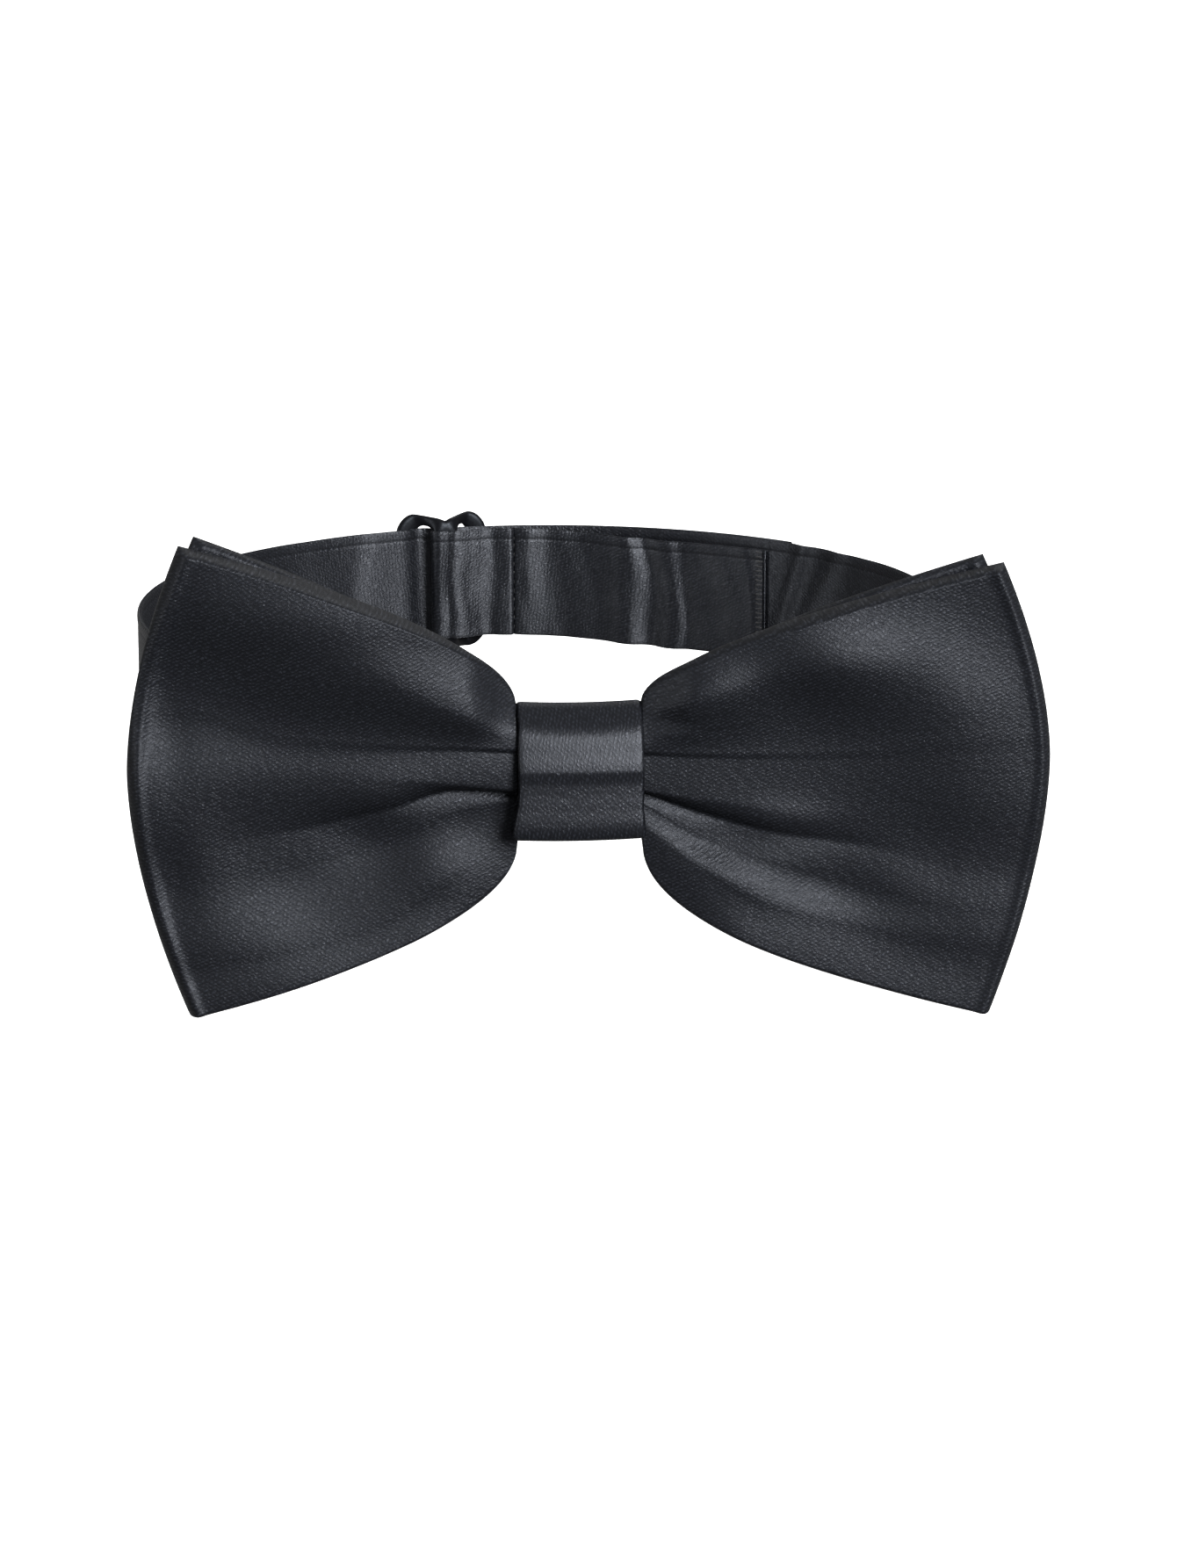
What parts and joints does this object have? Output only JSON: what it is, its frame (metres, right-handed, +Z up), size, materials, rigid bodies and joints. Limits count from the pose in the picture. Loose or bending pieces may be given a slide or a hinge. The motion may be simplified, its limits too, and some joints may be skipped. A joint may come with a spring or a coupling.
{
  "type": "bow tie",
  "caption": "Pre-tied bow tie with two layered satin tiers pinched in a knot band, on a neck strap whose length is set by a sliding adjuster.",
  "frame": {"origin": "centre of the neck loop, at half the strap's width", "axes": "+Z up along the wearer's neck; -Y forwards, the way the bow faces; +X to the right of someone looking at the bow"},
  "size_m": [0.1212, 0.1239, 0.0643],
  "materials": {
    "bow_satin": "black satin with a fine twill, soft sheen",
    "strap_satin": "black satin with a diagonal twill, soft sheen",
    "interlining": "matt woven interlining",
    "thread": "black sewing thread",
    "slide_plastic": "moulded black plastic, satin"
  },
  "bodies": {
    "neck_band": {"left_strap": "strap_satin", "left_interlining": "interlining", "right_strap": "strap_satin", "right_interlining": "interlining", "strap_seam_stitches": "thread", "tail_hem_stitches": "thread"},
    "slide": {"slide_buckle": "slide_plastic", "folded_strap_end": "strap_satin", "bar_tack": "thread", "end_overlock": "thread"},
    "bow": {"front_bow": "bow_satin", "front_interlining": "interlining", "rear_bow": "bow_satin", "rear_interlining": "interlining", "centre_tack": "thread", "knot_band": "bow_satin", "knot_lining": "interlining", "knot_stitches": "thread", "strap_keeper": "strap_satin", "keeper_stitches": "thread"}
  },
  "joints": [
    {"name": "slide_along_strap", "type": "hinge", "parent": "neck_band", "child": "slide", "pos_m": [0, 0, 0], "axis": [0, 0, 1], "range_deg": [-12, 24]},
    {"name": "bow_along_strap", "type": "hinge", "parent": "neck_band", "child": "bow", "pos_m": [0, 0, 0], "axis": [0, 0, 1], "range_deg": [-12, 12]}
  ]
}
